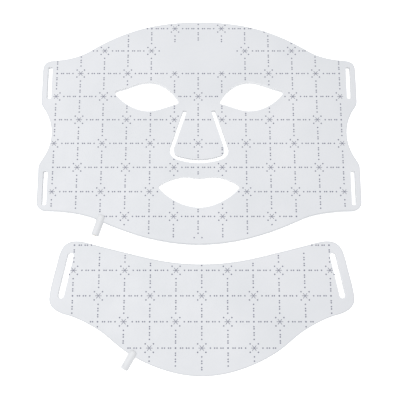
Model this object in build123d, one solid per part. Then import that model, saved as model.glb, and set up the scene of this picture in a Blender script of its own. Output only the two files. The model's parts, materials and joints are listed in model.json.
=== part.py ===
"""Flexible silicone LED light-therapy mask: a face panel and its matching neck panel.

Each panel is a soft moulded shell with a recess in its back. A lattice-shaped flexible circuit lies in
the recess with its lights facing the skin, and a thin inset cover closes it. A short moulded tail at the
lower edge holds the power jack. The panels flex about bend lines, so every layer is split at those lines.

Units are millimetres. The panels lie flat on their backs, printed front up. X runs across the face, Y up
to the forehead, Z out of the front. The origin is on the back surface, midway between the eyes.
"""

from build123d import *
import math
import os

# ---- thicknesses, from the back surface up -------------------------------------------------------
PANEL_T = 5.0  # whole panel
COVER_T = 2.0  # inset back cover
BOARD_T = 0.3  # flexible circuit, lying on the cover
LED_FLOOR = 0.6  # cover left under each light
EDGE_R = 0.9  # rounding of the shell's outer front rim

# ---- seams and gaps ------------------------------------------------------------------------------
RIM_W = 2.2  # bonding rim of the shell round every edge
COVER_GAP = 0.12  # cover to rim
BOARD_INSET = 1.0  # circuit to rim
BEND_GAP = 0.4  # between two rigid lengths at a bend line
FAR = 400.0  # beyond any part of either panel

# ---- light grid ----------------------------------------------------------------------------------
FACE_PITCH_X, FACE_PITCH_Y = 23.0, 23.6
NECK_PITCH_X, NECK_PITCH_Y = 23.6, 23.2
NECK_ROW_0 = -145.0  # height of the neck grid's first row
LED_SIZE, LED_CORNER = 3.0, 0.3
LED_CLEAR = 4.1  # least distance from a light's centre to any edge
STRIP_W = 5.0  # circuit strips along the grid lines
WINDOW_R = 5.0  # corner radius of the openings between the strips
WINDOW_CLEAR = 5.5  # least distance from an opening's corner to any edge
CHIP_SIZE = (2.0, 1.25, 0.55)  # series resistor
CHIP_COUNT = 3
FACE_CHIPS_AT = (-92.0, -106.0)
NECK_CHIPS_AT = (-47.2, -228.0)

# ---- bend lines ----------------------------------------------------------------------------------
FACE_BENDS = (2.5 * FACE_PITCH_X, 4.5 * FACE_PITCH_X)
NECK_BENDS = (1.5 * NECK_PITCH_X, 3.5 * NECK_PITCH_X)
NOSE_HINGE_Y = -22.0

# ---- nose slit and strap slots -------------------------------------------------------------------
SLIT_W = 3.6
SLIT_TOP_Y = -14.4
FACE_SLOT_X, FACE_SLOT_YS = 146.0, (14.2, -90.8)
FACE_SLOT_W, FACE_SLOT_L, FACE_SLOT_R = 4.2, 32.5, 1.2
FACE_TAB_X = 143.7  # the recess stops a rim's width short of this line
NECK_SLOT_AT = (125.1, -172.9)
NECK_SLOT_W, NECK_SLOT_L, NECK_SLOT_LEAN = 5.7, 42.0, 11.6
NECK_SLOT_R = 2.6
NECK_TAB_X = 121.6  # the same line for the neck panel, at the slot's height, with the slot's lean
NECK_SHIFT_X = 2.5  # how far the loose neck panel lies to one side of the face panel

# ---- power tail ----------------------------------------------------------------------------------
TAIL_R = 3.7
TAIL_Z = 3.4  # height of the tail's axis; its underside is a narrow flat, flush with the panel's back
TAIL_END_R, TAIL_ROOT_R = 1.3, 2.4
TAIL_INSIDE = 5.5  # length bonded into the panel
JACK_R, JACK_L = 2.6, 13.0
BORE_R, BORE_L = 1.3, 11.0  # for a 2.5 mm plug
RING_R, RING_L = 2.0, 1.7  # ring contact, flush with the bore and the mouth
TIP_R, TIP_L = 0.9, 0.8
WIRE_R, WIRE_SPREAD, WIRE_CLEAR = 0.45, 1.0, 0.02
WIRE_END = 24.0  # depth behind the tip at which the wires meet the circuit
# tip of each tail on its axis, which way the tail points in degrees from +X, and tip to panel edge
FACE_TAIL = ((-97.3, -135.8), -108.5, 15.0)
NECK_TAIL = ((-69.8, -256.4), -119.5, 13.4)

# ---- outlines ------------------------------------------------------------------------------------
# A knot is x, y, the heading of travel in degrees, and the curve's reach before and after the knot.
# No reach on either side of a length makes it straight. Halves run from the top centre to the bottom.
FACE_OUTLINE = (
    (0, 78, 0, 0, 40.4),
    (107.1, 47.5, -32.8, 41, 11.2),
    (137, 37.8, -5.6, 9.2, 10),
    (153.2, 26, -90, 11, 0),
    (153.2, -5.3, -90, 0, 4.2),
    (147.1, -17.3, -116.8, 5.3, 7.8),
    (142, -38, -90, 7.5, 7.6),
    (147.5, -59.3, -61.8, 7.6, 5.3),
    (153, -72, -90, 5.3, 0),
    (153, -104, -90, 0, 5.5),
    (143.5, -112.8, 180, 5.4, 10.1),
    (97, -120.4, -156, 15.3, 22.4),
    (0, -144.4, 180, 42.1, 0),
)
MOUTH_OUTLINE = (
    (0, -81.6, 0, 0, 4),
    (12.5, -80.1, 0, 4.5, 8.6),
    (37.3, -88.4, -39.3, 6.6, 1.3),
    (37.7, -91, -127, 1.2, 9.5),
    (0, -109.4, 180, 16.1, 0),
)
NECK_OUTLINE = (
    (0, -162.6, 0, 0, 25.3),
    (59.9, -154.5, 14, 15.2, 14.8),
    (103.6, -143.5, 15.3, 11.1, 9.7),
    (129.1, -147.4, -57.7, 10.4, 5.1),
    (134.2, -164.5, -78.3, 5.8, 8),
    (139.5, -194.1, -90, 7.9, 7.8),
    (122.1, -208.9, -167, 9.8, 8.5),
    (89.1, -225.1, -143.2, 9.9, 6.5),
    (75.5, -236, -141.3, 7.4, 19.1),
    (0, -262.5, 180, 30, 0),
)
# the right eye hole: a closed loop from its top
EYE_OUTLINE = (
    (48.9, 14.8, 0, 0, 10.2),
    (78.4, 6.7, -12.5, 9.8, 3.6),
    (80.9, 2, -127, 3, 7.8),
    (48.4, -14.9, 180, 15.6, 8.1),
    (23.2, -8.2, 165, 7.8, 2),
    (20.2, -5.6, 83, 1.6, 3.2),
    (48.9, 14.8, 0, 17, 0),
)
# The flap over the nose starts above the slit's top, so that the slit keeps its width to its end.
FLAP_TOP, FLAP_TOP_HALF_W = -5.0, 8.7
FLAP_OUTLINE = (
    (FLAP_TOP_HALF_W, FLAP_TOP, -71.8, 0, 16),
    (23.9, -51.23, -71.8, 16, 3.6),
    (20.5, -59.3, -160, 3.8, 7.5),
    (0, -62.9, 180, 6.5, 0),
)


# ---- outline helpers -----------------------------------------------------------------------------
def along(knot, distance):
    """The point that far ahead of a knot on its heading, to the nearest nanometre."""
    x, y, heading = knot[:3]
    turn = math.radians(heading)
    return round(x + distance * math.cos(turn), 6), round(y + distance * math.sin(turn), 6)


def moved(knots, amount):
    """The outline moved outwards, to the left of travel, with each curve's reach scaled to match."""
    if not amount:
        return knots
    shifted = [(*along((x, y, heading + 90), amount), heading) for x, y, heading, _, _ in knots]
    scales = [
        math.dist(a[:2], b[:2]) / math.dist(c[:2], d[:2])
        for a, b, c, d in zip(shifted, shifted[1:], knots, knots[1:])
    ]
    before, after = [0, *scales], [*scales, 0]
    return [
        (*place, knot[3] * back, knot[4] * ahead)
        for place, knot, back, ahead in zip(shifted, knots, before, after)
    ]


def controls(knots):
    """The four control points of each length between two knots."""
    for here, after in zip(knots, knots[1:]):
        yield here[:2], along(here, here[4]), along(after, -after[3]), after[:2]


def edges_of(knots):
    """Each length as a straight or a cubic edge."""
    for start, lead, trail, end in controls(knots):
        straight = start == lead and trail == end
        yield (Line(start, end) if straight else Bezier(start, lead, trail, end)).edges()[0]


def upward(face):
    """The face, turned to look up."""
    return face if face.normal_at().Z > 0 else -face


def half_face(knots):
    """A face from the right half of a symmetric outline; a half that starts off-centre is closed straight."""
    edges = list(edges_of(knots))
    other = [edge.mirror(Plane.YZ) for edge in edges]
    x, y = knots[0][:2]
    top = [Line((-x, y), (x, y)).edges()[0]] if x else []
    return upward(Face(Wire(edges + other + top)))


def ring_of(knots, symmetric=True, per_length=60):
    """Points along an outline, for distance tests."""
    points = []
    for corners in controls(knots):
        for i in range(per_length):
            t = i / per_length
            weights = ((1 - t) ** 3, 3 * t * (1 - t) ** 2, 3 * t * t * (1 - t), t**3)
            points.append(tuple(sum(w * c[k] for w, c in zip(weights, corners)) for k in (0, 1)))
    return points + [(-x, y) for x, y in reversed(points)] if symmetric else points


def inside(point, ring):
    """True if the point is inside the ring of points."""
    x, y = point
    crossings = 0
    for (x1, y1), (x2, y2) in zip(ring, ring[1:] + ring[:1]):
        if (y1 > y) != (y2 > y) and x < x1 + (y - y1) / (y2 - y1) * (x2 - x1):
            crossings += 1
    return crossings % 2 == 1


# ---- shape helpers -------------------------------------------------------------------------------
def slab(shape, low, high):
    """A plan shape's faces as solids between two heights."""
    faces = [upward(face) for face in shape.faces()]
    return Part() + [Pos(0, 0, low) * extrude(face, amount=high - low) for face in faces]


def cutter(shape):
    """A plan shape as a solid that passes right through a panel."""
    return slab(shape, -1, PANEL_T + 1)


def rectangle(x0, x1, y0, y1):
    """A face between two abscissae and two ordinates."""
    return Pos((x0 + x1) / 2, (y0 + y1) / 2) * Rectangle(x1 - x0, y1 - y0)


def band(low, high, along_x=True):
    """Everything between two abscissae, or between two ordinates."""
    return cutter(rectangle(low, high, -FAR, FAR) if along_x else rectangle(-FAR, FAR, low, high))


def group(shapes):
    """Separate solids as one compound."""
    return Compound(children=[solid for shape in shapes for solid in shape.solids()])


def blank(outline, rim, low, high):
    """A panel without its holes: the edge moved in by a rim, or with no rim the front edge rounded."""
    solid = slab(half_face(moved(outline, -rim)), low, high)
    return solid if rim else fillet(solid.faces().sort_by(Axis.Z)[-1].edges(), EDGE_R)


# ---- the face panel's holes ----------------------------------------------------------------------
def slit_hole(rim):
    """The U-shaped slit round the nose flap, widened by a rim on both sides."""
    flap = slab(half_face(moved(FLAP_OUTLINE, -rim)), -2, PANEL_T + 2)
    ring = cutter(half_face(moved(FLAP_OUTLINE, SLIT_W + rim))) - flap
    return ring & band(-FAR, SLIT_TOP_Y + rim, along_x=False)


def eye_holes(rim):
    """Both eye holes, widened by a rim."""
    eye = cutter(Face(Wire(list(edges_of(moved(EYE_OUTLINE, rim))))))
    return [eye, mirror(eye, about=Plane.YZ)]


def face_slots():
    """The four upright strap slots."""
    slot = cutter(RectangleRounded(FACE_SLOT_W, FACE_SLOT_L, FACE_SLOT_R))
    return [Pos(side * FACE_SLOT_X, y, 0) * slot for side in (-1, 1) for y in FACE_SLOT_YS]


def face_layer(rim, low, high):
    """The face panel between two heights, every edge moved in by a rim and, if there is one, without tabs."""
    solid = blank(FACE_OUTLINE, rim, low, high)
    if rim:
        solid &= band(rim - FACE_TAB_X, FACE_TAB_X - rim)
    else:
        solid -= face_slots()
    mouth = cutter(half_face(moved(MOUTH_OUTLINE, rim)))
    return solid - [*eye_holes(rim), mouth, slit_hole(rim)]


# ---- the neck panel's holes ----------------------------------------------------------------------
def neck_side(side, x):
    """Placement beside a strap slot of the neck panel, leaning as the slot leans."""
    return Pos(side * x, NECK_SLOT_AT[1], 0) * Rot(0, 0, side * NECK_SLOT_LEAN)


def neck_slots():
    """The two leaning strap slots."""
    slot = cutter(RectangleRounded(NECK_SLOT_W, NECK_SLOT_L, NECK_SLOT_R))
    return [neck_side(side, NECK_SLOT_AT[0]) * slot for side in (-1, 1)]


def neck_tab_ring(side, count=120):
    """Points round the tab beyond the recess, for distance tests."""
    x, y = side * 4 * NECK_SLOT_W, NECK_SLOT_L
    ring = neck_side(side, NECK_TAB_X) * Polyline((0, -y), (x, -y), (x, y), (0, y), close=True)
    return [(point.X, point.Y) for point in (ring @ (i / count) for i in range(count))]


def neck_layer(rim, low, high):
    """The neck panel between two heights, every edge moved in by a rim and, if there is one, without tabs."""
    solid = blank(NECK_OUTLINE, rim, low, high)
    if not rim:
        return solid - neck_slots()
    left_tab = neck_side(-1, NECK_TAB_X) * band(-FAR, rim)
    right_tab = neck_side(1, NECK_TAB_X) * band(-rim, FAR)
    return solid - left_tab - right_tab


# ---- lights and circuit --------------------------------------------------------------------------
def is_clear(point, margin, edge, holes, slit):
    """True inside the edge and outside the holes, with a margin to each and to both sides of the slit."""
    if not inside(point, edge) or any(inside(point, hole) for hole in holes):
        return False
    near = min(math.dist(point, other) for ring in (edge, *holes) for other in ring)
    return near >= margin and all(math.dist(point, other) >= margin + SLIT_W for other in slit)


def crossings(grid, across=0.0):
    """The grid's crossings with their column and row, moved across by a share of the pitch."""
    pitch_x, pitch_y, row_0, rows = grid
    for row in rows:
        for column in range(-7, 8):
            yield column, row, (column + across) * pitch_x, row_0 - (row + across) * pitch_y


def light_places(grid, outline):
    """Every other crossing, where a light fits clear of all edges."""
    return [
        (x, y)
        for column, row, x, y in crossings(grid)
        if (column + row) % 2 == 0 and is_clear((x, y), LED_CLEAR, *outline)
    ]


def windows(grid, outline):
    """The openings between the circuit's strips: one in each cell of the grid that has room for it."""
    wide, high = grid[0] - STRIP_W, grid[1] - STRIP_W
    opening = RectangleRounded(wide, high, WINDOW_R)
    return [
        cutter(Pos(x, y) * opening)
        for _, _, x, y in crossings(grid, across=0.5)
        if all(
            is_clear((x + i * wide / 2, y + j * high / 2), WINDOW_CLEAR, *outline)
            for i in (-1, 0, 1)
            for j in (-1, 0, 1)
        )
    ]


def light_package(x, y):
    """One light, its window facing the skin."""
    body = Box(LED_SIZE, LED_SIZE, COVER_T - LED_FLOOR)
    body = chamfer(body.edges().filter_by(Axis.Z), LED_CORNER)
    return Pos(x, y, (LED_FLOOR + COVER_T) / 2) * body


def resistors(x, y):
    """Series resistors in a row on the circuit's skin side, beside the tail."""
    wide, deep, tall = CHIP_SIZE
    places = [y + 2 * deep * (i - (CHIP_COUNT - 1) / 2) for i in range(CHIP_COUNT)]
    return [Pos(x, place, COVER_T - tall / 2) * Box(wide, deep, tall) for place in places]


# ---- the power tail ------------------------------------------------------------------------------
def rod(plane, radius, near, deep, up=0.0, aside=0.0):
    """A round bar along a tail, between two depths behind its tip."""
    return plane * Pos(up, aside, -(near + deep) / 2) * Cylinder(radius, deep - near)


def tail_plane(tail):
    """A tail's frame: its tip at the origin, local X up and local Z out of the jack's mouth."""
    (x, y), heading, _ = tail
    turn = math.radians(heading)
    return Plane(origin=(x, y, TAIL_Z), x_dir=(0, 0, 1), z_dir=(math.cos(turn), math.sin(turn), 0))


def tail_bar(tail):
    """The sleeve as a plain bar, rounded at both ends."""
    length = tail[2] + TAIL_INSIDE
    bar = Cylinder(TAIL_R, length, align=(Align.CENTER, Align.CENTER, Align.MAX))
    bar = fillet(bar.edges().group_by(Axis.Z)[-1], TAIL_END_R)
    bar = fillet(bar.edges().group_by(Axis.Z)[0], TAIL_ROOT_R)
    return tail_plane(tail) * bar


def tail_wires(tail):
    """Two wires from the back of the jack, lying on the circuit's front side."""
    up = COVER_T + BOARD_T + WIRE_R + WIRE_CLEAR - TAIL_Z
    return [rod(tail_plane(tail), WIRE_R, JACK_L, WIRE_END, up, side * WIRE_SPREAD) for side in (-1, 1)]


def tail_nodes(panel, tail, bar):
    """The tail's sleeve, jack, contacts and wires."""
    plane = tail_plane(tail)
    wires = tail_wires(tail)
    ring = rod(plane, RING_R, 0, RING_L)
    bore = rod(plane, BORE_R, 0, BORE_L)
    tip = rod(plane, TIP_R, BORE_L, BORE_L + TIP_L)
    sleeve = bar & slab(rectangle(-FAR, FAR, -FAR, FAR), 0, TAIL_Z + TAIL_R + 1)
    return {
        f"{panel}_tail_sleeve": group([sleeve - rod(plane, JACK_R, 0, JACK_L) - wires]),
        f"{panel}_jack_body": group([rod(plane, JACK_R, 0, JACK_L) - bore - ring - tip]),
        f"{panel}_jack_contacts": group([ring - bore, tip]),
        f"{panel}_jack_wires": group(wires),
    }


# ---- layers of a whole panel ---------------------------------------------------------------------
def panel_layers(layer, grid, outline, chips, bar, wires):
    """The shell, cover and circuit of a whole panel, with room for the tail, and its lights."""
    packages = [light_package(x, y) for x, y in light_places(grid, outline)]
    recess = layer(RIM_W, -1, COVER_T + BOARD_T)
    cover = layer(RIM_W + COVER_GAP, 0, COVER_T)
    circuit = layer(RIM_W + BOARD_INSET, COVER_T, COVER_T + BOARD_T)
    return {
        "shell": layer(0, 0, PANEL_T) - recess - bar - wires,
        "cover": cover - packages - chips - bar,
        "circuit": circuit - windows(grid, outline) - bar,
        "lights": group(packages),
    }


def lengths(bends):
    """Each rigid length's name and the space it fills, with the bend gap between neighbours."""
    inner, outer = bends
    half = BEND_GAP / 2
    return {
        "left_outer": band(-FAR, -outer - half),
        "left_inner": band(-outer + half, -inner - half),
        "centre": band(-inner + half, inner - half),
        "right_inner": band(inner + half, outer - half),
        "right_outer": band(outer + half, FAR),
    }


def divided(panel, layers, bends):
    """The panel's layers cut at its bend lines."""
    return {
        f"{panel}_{length}_{layer}": group([shape & space])
        for length, space in lengths(bends).items()
        for layer, shape in layers.items()
    }


# ---- the two panels ------------------------------------------------------------------------------
def face_panel():
    """Every node of the face panel, its nose flap and its power tail."""
    grid = (FACE_PITCH_X, FACE_PITCH_Y, 0, range(-4, 7))
    eye = ring_of(EYE_OUTLINE, symmetric=False)
    holes = [eye, [(-x, y) for x, y in eye], ring_of(MOUTH_OUTLINE)]
    slit = [point for point in ring_of(FLAP_OUTLINE) if point[1] < SLIT_TOP_Y]
    chips = resistors(*FACE_CHIPS_AT)
    bar = tail_bar(FACE_TAIL)
    outline = (ring_of(FACE_OUTLINE), holes, slit)
    layers = panel_layers(face_layer, grid, outline, chips, bar, tail_wires(FACE_TAIL))
    zone = cutter(half_face(moved(FLAP_OUTLINE, SLIT_W / 2)))
    kept = zone & band(-FAR, NOSE_HINGE_Y - BEND_GAP / 2, along_x=False)
    removed = zone & band(-FAR, NOSE_HINGE_Y + BEND_GAP / 2, along_x=False)
    nose = {f"nose_flap_{layer}": group([shape & kept]) for layer, shape in layers.items()}
    rest = {layer: shape - removed for layer, shape in layers.items()}
    tail = tail_nodes("face", FACE_TAIL, bar)
    return {**divided("face", rest, FACE_BENDS), **nose, **tail, "face_resistors": group(chips)}


def neck_panel():
    """Every node of the neck panel and its power tail."""
    grid = (NECK_PITCH_X, NECK_PITCH_Y, NECK_ROW_0, range(-1, 6))
    chips = resistors(*NECK_CHIPS_AT)
    bar = tail_bar(NECK_TAIL)
    outline = (ring_of(NECK_OUTLINE), [neck_tab_ring(side) for side in (-1, 1)], [])
    layers = panel_layers(neck_layer, grid, outline, chips, bar, tail_wires(NECK_TAIL))
    tail = tail_nodes("neck", NECK_TAIL, bar)
    nodes = {**divided("neck", layers, NECK_BENDS), **tail, "neck_resistors": group(chips)}
    return {name: Pos(NECK_SHIFT_X, 0, 0) * shape for name, shape in nodes.items()}


def main():
    os.makedirs("parts", exist_ok=True)
    for name, shape in {**face_panel(), **neck_panel()}.items():
        export_step(shape, f"parts/{name}.step")


main()
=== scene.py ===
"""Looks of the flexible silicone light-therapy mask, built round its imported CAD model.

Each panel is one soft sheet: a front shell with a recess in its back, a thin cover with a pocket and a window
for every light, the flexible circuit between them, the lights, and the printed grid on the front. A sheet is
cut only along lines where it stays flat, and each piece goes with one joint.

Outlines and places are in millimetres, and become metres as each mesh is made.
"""

import json
import math

import bmesh
import bpy
import numpy as np
from mathutils import Matrix, Vector
from mathutils.geometry import delaunay_2d_cdt
from mathutils.kdtree import KDTree

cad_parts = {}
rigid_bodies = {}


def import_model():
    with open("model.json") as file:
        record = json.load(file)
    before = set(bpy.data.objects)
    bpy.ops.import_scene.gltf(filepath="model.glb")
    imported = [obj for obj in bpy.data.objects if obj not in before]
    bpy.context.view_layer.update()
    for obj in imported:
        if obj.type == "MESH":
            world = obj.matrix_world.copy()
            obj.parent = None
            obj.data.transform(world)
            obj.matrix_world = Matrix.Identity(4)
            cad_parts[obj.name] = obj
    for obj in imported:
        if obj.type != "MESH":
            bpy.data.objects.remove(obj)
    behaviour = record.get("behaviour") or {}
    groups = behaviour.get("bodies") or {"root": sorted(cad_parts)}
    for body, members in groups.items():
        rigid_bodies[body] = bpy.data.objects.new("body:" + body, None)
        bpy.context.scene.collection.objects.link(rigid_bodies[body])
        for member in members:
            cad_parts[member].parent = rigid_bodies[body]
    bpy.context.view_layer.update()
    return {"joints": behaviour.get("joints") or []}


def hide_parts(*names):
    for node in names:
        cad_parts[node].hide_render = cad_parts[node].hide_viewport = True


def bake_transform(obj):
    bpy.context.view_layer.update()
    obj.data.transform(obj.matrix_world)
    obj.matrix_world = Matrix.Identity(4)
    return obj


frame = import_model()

MM = 0.001
FAR = 400.0  # beyond every edge

# ---- thicknesses, from the back surface up -------------------------------------------------------
PANEL_T = 5.0
COVER_T = 2.0
BOARD_T = 0.3
CEILING = COVER_T + BOARD_T  # top of the recess in the shell's back
OUTER_R, HOLE_R, BACK_R = 0.9, 0.25, 0.15  # rounding of the outer, hole and back rims
FRONT_STRIP, BACK_STRIP = 0.25, 0.2  # narrow flat strips beside the rounded rims
COVER_R, COVER_MID = 0.3, 0.09  # rounding of the cover's back rim, and its middle's inset and height
RIM_W = 2.2  # solid rim of the shell round its recess
COVER_GAP = 0.12  # from the recess's wall to the cover
BOARD_INSET = 1.0  # from the recess's wall to the circuit

# ---- light grid ----------------------------------------------------------------------------------
FACE_GRID = (23.0, 23.6, 0.0, range(-4, 7))  # pitch across and down, height of row 0, rows
NECK_GRID = (23.6, 23.2, -145.0, range(-1, 6))
COLUMNS = range(-7, 8)
LED_SIZE, LED_CORNER, LED_LOW = 3.0, 0.3, 0.6
LED_CLEAR = 4.1  # least distance from a light's middle to an edge
LENS_R, LENS_DEEP = 1.1, 0.1  # round phosphor window in each light's skin side
POCKET_GAP = 0.06
DIMPLE_R, DIMPLE_SLOPE, DIMPLE_DEEP = 3.0, 0.5, 0.2  # thin dished window in the cover under each light
DIMPLE_EDGE = 0.15  # least width of cover between a window and the cover's rim
STRIP_W, WINDOW_R, WINDOW_CLEAR = 5.0, 5.0, 5.5  # circuit strips, and the openings between them
CHIP_SIZE, CHIP_END, CHIP_COUNT = (2.0, 1.25, 0.55), 0.35, 3
CHIP_SIDE_IN, CHIP_LOW_IN, CHIP_TOP_IN = 0.05, 0.04, 0.01  # how far the body lies inside its ends' faces
FACE_CHIPS_AT = (-92.0, -106.0)
NECK_CHIPS_AT = (-47.2, -228.0)

# ---- nose slit and strap slots -------------------------------------------------------------------
SLIT_W, SLIT_TOP_Y, SLIT_END_R = 3.6, -14.4, 0.7
FLAP_CUT_Y = -15.9  # where the flap's own piece starts
FACE_SLOT_X, FACE_SLOT_YS, FACE_SLOT_SIZE, FACE_SLOT_R = 146.0, (14.2, -90.8), (4.2, 32.5), 1.2
FACE_TAB_X = 143.7  # where the recess stops beside the slots
NECK_SLOT_AT, NECK_SLOT_SIZE, NECK_SLOT_R, NECK_SLOT_LEAN = (125.1, -172.9), (5.7, 42.0), 2.6, 11.6
NECK_TAB_X = 121.6
NECK_SHIFT_X = 2.5  # the neck panel lies a little to one side

# ---- power tail ----------------------------------------------------------------------------------
TAIL_R, TAIL_Z, TAIL_END_R, TAIL_ROOT_R, TAIL_INSIDE = 3.7, 3.4, 1.3, 2.4, 5.5
TAIL_FLAT_Z = 0.04  # the tail's flat underside, just above the panel's back
JACK_R, JACK_L, BORE_R, BORE_L = 2.6, 13.0, 1.3, 11.0
RING_R, RING_L, TIP_R, TIP_L = 2.0, 1.7, 0.9, 0.8
MOUTH_FLARE = (0.3, 0.2)  # depth and width of the flare in the sleeve's mouth
JACK_SINK, JACK_LIP = 0.1, 0.15  # the jack's face below the sleeve's tip, and the bevels round it
RING_BEVEL, TIP_DOME = 0.1, (0.15, 0.3)  # the ring contact's outer bevel, and the tip contact's domed end
SEAT_GAP = 0.01  # clearance between the sleeve, the jack and its contacts
WIRE_R, WIRE_SPREAD, WIRE_CLEAR, WIRE_END = 0.45, 1.0, 0.02, 24.0
WIRE_BEVEL, WIRE_CORE_R, WIRE_BARED = 0.05, 0.25, 2.0
# tip, which way the tail points in degrees from +X, and tip to panel edge
FACE_TAIL = ((-97.3, -135.8), -108.5, 15.0)
NECK_TAIL = ((-69.8, -256.4), -119.5, 13.4)

# ---- printed grid --------------------------------------------------------------------------------
DOT_R, CROSS_DOT_R = 0.68, 0.8  # dots, and those where two lines cross
INK_LOW, INK_HIGH = PANEL_T - 0.1, PANEL_T + 0.04
LINK_DOTS = (0.33, 0.49, 0.58, 0.73, 0.81)  # from a star towards the plain dot beside it, in pitches
STAR_DOT = 0.157  # star centre to each of its four dots, across and down, in pitches
STAR_ANGLES = (0, 52, 128, 180, 232, 308)
LEG_SHARE, LEG_W = 0.125, 0.48  # length of a star's legs in pitches, and their width
INK_CLEAR = 1.0  # least distance from a mark's middle to a hole or a top edge
FACE_LOW_CLEAR, NECK_LOW_CLEAR = 2.85, 1.8  # the same to each panel's lower edge
FACE_INK_HALF_W, NECK_INK_HALF_W = 140.5, 122.3
FACE_PRINT_X = -0.9  # the face panel's print lies a little to one side of its lights
BLANK = (36.8, 26.3, 56.8)  # half width, bottom and top of the field left clear on the forehead

# ---- mesh fineness -------------------------------------------------------------------------------
STEP, STEP_TURN = 2.4, 8.0  # greatest spacing of an outline's points, and greatest turn between them
FINE_STEP = 0.5  # spacing for distance tests
GRID = 4.0  # spacing of the points inside a flat region
FLAP_STEP = 1.5  # spacing of the flap's cross cuts where it bends

# ---- studio, in metres ---------------------------------------------------------------------------
FLOOR_HALF, FLOOR_Z, FLOOR_GLOW = 3.0, -0.092, 0.45  # low enough for the sides to bend down
SKY_LIGHT = 0.84
KEY_PLACE, KEY_AIM, KEY_SIZE, KEY_POWER = (-0.4, -0.05, 1.4), (0, -0.09, 0), 1.0, 10
CAMERA_PLACE, CAMERA_TILT, CAMERA_LENS = (0.0009, -0.2065, 0.5595), 0.1856, 54  # metres, radians, mm

# ---- outlines ------------------------------------------------------------------------------------
# A knot is x, y, the heading of travel in degrees, and the curve's reach before and after the knot.
# Outlines run clockwise, and halves from the top centre to the bottom.
FACE_OUTLINE = (
    (0, 78, 0, 0, 40.4),
    (107.1, 47.5, -32.8, 41, 11.2),
    (137, 37.8, -5.6, 9.2, 10),
    (153.2, 26, -90, 11, 0),
    (153.2, -5.3, -90, 0, 4.2),
    (147.1, -17.3, -116.8, 5.3, 7.8),
    (142, -38, -90, 7.5, 7.6),
    (147.5, -59.3, -61.8, 7.6, 5.3),
    (153, -72, -90, 5.3, 0),
    (153, -104, -90, 0, 5.5),
    (143.5, -112.8, 180, 5.4, 10.1),
    (97, -120.4, -156, 15.3, 22.4),
    (0, -144.4, 180, 42.1, 0),
)
MOUTH_OUTLINE = (
    (0, -81.6, 0, 0, 4),
    (12.5, -80.1, 0, 4.5, 8.6),
    (37.3, -88.4, -39.3, 6.6, 1.3),
    (37.7, -91, -127, 1.2, 9.5),
    (0, -109.4, 180, 16.1, 0),
)
NECK_OUTLINE = (
    (0, -162.6, 0, 0, 25.3),
    (59.9, -154.5, 14, 15.2, 14.8),
    (103.6, -143.5, 15.3, 11.1, 9.7),
    (129.1, -147.4, -57.7, 10.4, 5.1),
    (134.2, -164.5, -78.3, 5.8, 8),
    (139.5, -194.1, -90, 7.9, 7.8),
    (122.1, -208.9, -167, 9.8, 8.5),
    (89.1, -225.1, -143.2, 9.9, 6.5),
    (75.5, -236, -141.3, 7.4, 19.1),
    (0, -262.5, 180, 30, 0),
)
EYE_OUTLINE = (
    (48.9, 14.8, 0, 0, 10.2),
    (78.4, 6.7, -12.5, 9.8, 3.6),
    (80.9, 2, -127, 3, 7.8),
    (48.4, -14.9, 180, 15.6, 8.1),
    (23.2, -8.2, 165, 7.8, 2),
    (20.2, -5.6, 83, 1.6, 3.2),
    (48.9, 14.8, 0, 17, 0),
)
FLAP_OUTLINE = (
    (8.7, -5, -71.8, 0, 16),
    (23.9, -51.23, -71.8, 16, 3.6),
    (20.5, -59.3, -160, 3.8, 7.5),
    (0, -62.9, 180, 6.5, 0),
)


# ---- rings: closed lists of points, clockwise ----------------------------------------------------
def along(knot, distance):
    """The point that far ahead of a knot on its heading."""
    x, y, heading = knot[:3]
    turn = math.radians(heading)
    return x + distance * math.cos(turn), y + distance * math.sin(turn)


def sampled(knots, step):
    """Points along an outline, closer together where it turns."""
    points = []
    for here, after in zip(knots, knots[1:]):
        ends = (here[:2], along(here, here[4]), along(after, -after[3]), after[:2])
        turn = abs((after[2] - here[2] + 180) % 360 - 180)
        count = math.ceil(max(math.dist(here[:2], after[:2]) / step, turn / STEP_TURN))
        for i in range(count):
            t = i / count
            weights = ((1 - t) ** 3, 3 * t * (1 - t) ** 2, 3 * t * t * (1 - t), t**3)
            points.append(tuple(sum(w * p[k] for w, p in zip(weights, ends)) for k in (0, 1)))
    return [*points, knots[-1][:2]]


def both_halves(knots, step):
    """A ring from the right half of a symmetric outline."""
    half = sampled(knots, step)
    return half + [(-x, y) for x, y in reversed(half) if x > 1e-6]


def mirrored(ring):
    return [(-x, y) for x, y in reversed(ring)]


def neighbours(ring):
    return zip(ring[-1:] + ring[:-1], ring, ring[1:] + ring[:1])


def way(start, end):
    """The unit direction from one point to another."""
    length = math.dist(start, end)
    return (end[0] - start[0]) / length, (end[1] - start[1]) / length


def grown(ring, amount):
    """The ring moved outwards, to the left of travel, or inwards if the amount is negative."""
    moved = []
    for before, here, after in neighbours(ring):
        (ax, ay), (bx, by) = way(before, here), way(here, after)
        share = amount / (1 + ax * bx + ay * by)
        moved.append((here[0] - (ay + by) * share, here[1] + (ax + bx) * share))
    return moved


def rounded(ring, radius, steps=6):
    """The ring with an arc in place of each sharp corner."""
    points = []
    for before, here, after in neighbours(ring):
        (ax, ay), (bx, by) = way(before, here), way(here, after)
        turn = math.atan2(ax * by - ay * bx, ax * bx + ay * by)
        if abs(turn) < math.radians(30):
            points.append(here)
            continue
        reach = radius * math.tan(abs(turn) / 2)
        side = math.copysign(radius, turn)
        start = (here[0] - ax * reach, here[1] - ay * reach)
        centre = (start[0] - ay * side, start[1] + ax * side)
        for i in range(steps + 1):
            c, s = math.cos(turn * i / steps), math.sin(turn * i / steps)
            dx, dy = start[0] - centre[0], start[1] - centre[1]
            points.append((centre[0] + dx * c - dy * s, centre[1] + dx * s + dy * c))
    return points


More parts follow.
